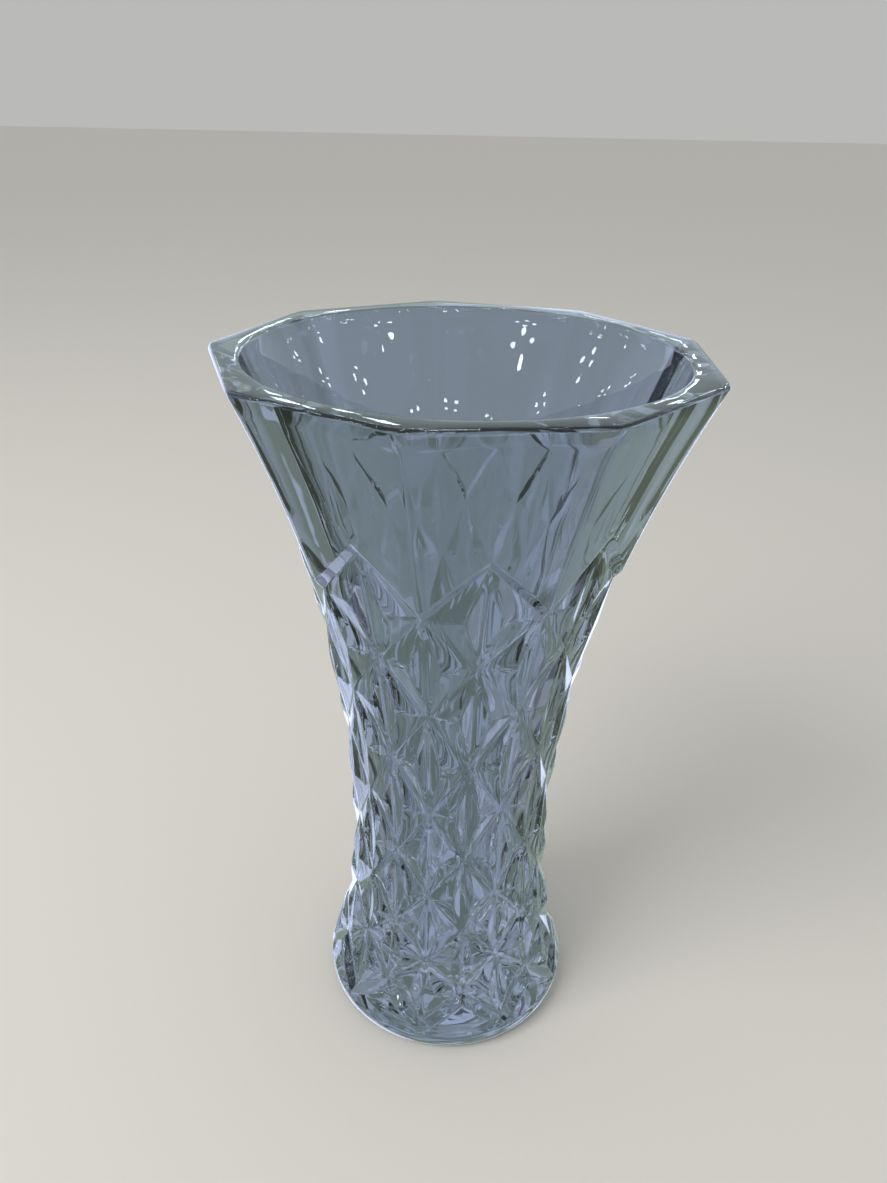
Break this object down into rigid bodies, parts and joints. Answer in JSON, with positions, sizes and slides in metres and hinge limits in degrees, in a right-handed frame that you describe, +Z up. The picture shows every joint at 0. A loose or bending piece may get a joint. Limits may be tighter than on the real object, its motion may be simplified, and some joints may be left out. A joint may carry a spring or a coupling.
{
  "type": "cut crystal vase",
  "caption": "Tall flared crystal vase: solid heel, star-cut waisted wall and a plain nine-sided lip around an open flower cavity.",
  "frame": {"origin": "middle of the flat underside, on the vase's axis", "axes": "+Z up along the axis out of the mouth; +Y towards one corner of the nine-sided lip; -Y towards the middle of the opposite flat panel"},
  "size_m": [0.1514, 0.1492, 0.25],
  "materials": {
    "crystal": "clear polished lead crystal with a faint blue-grey tint"
  },
  "bodies": {
    "root": {"foot": "crystal", "cut_wall": "crystal", "lip": "crystal"}
  },
  "joints": []
}
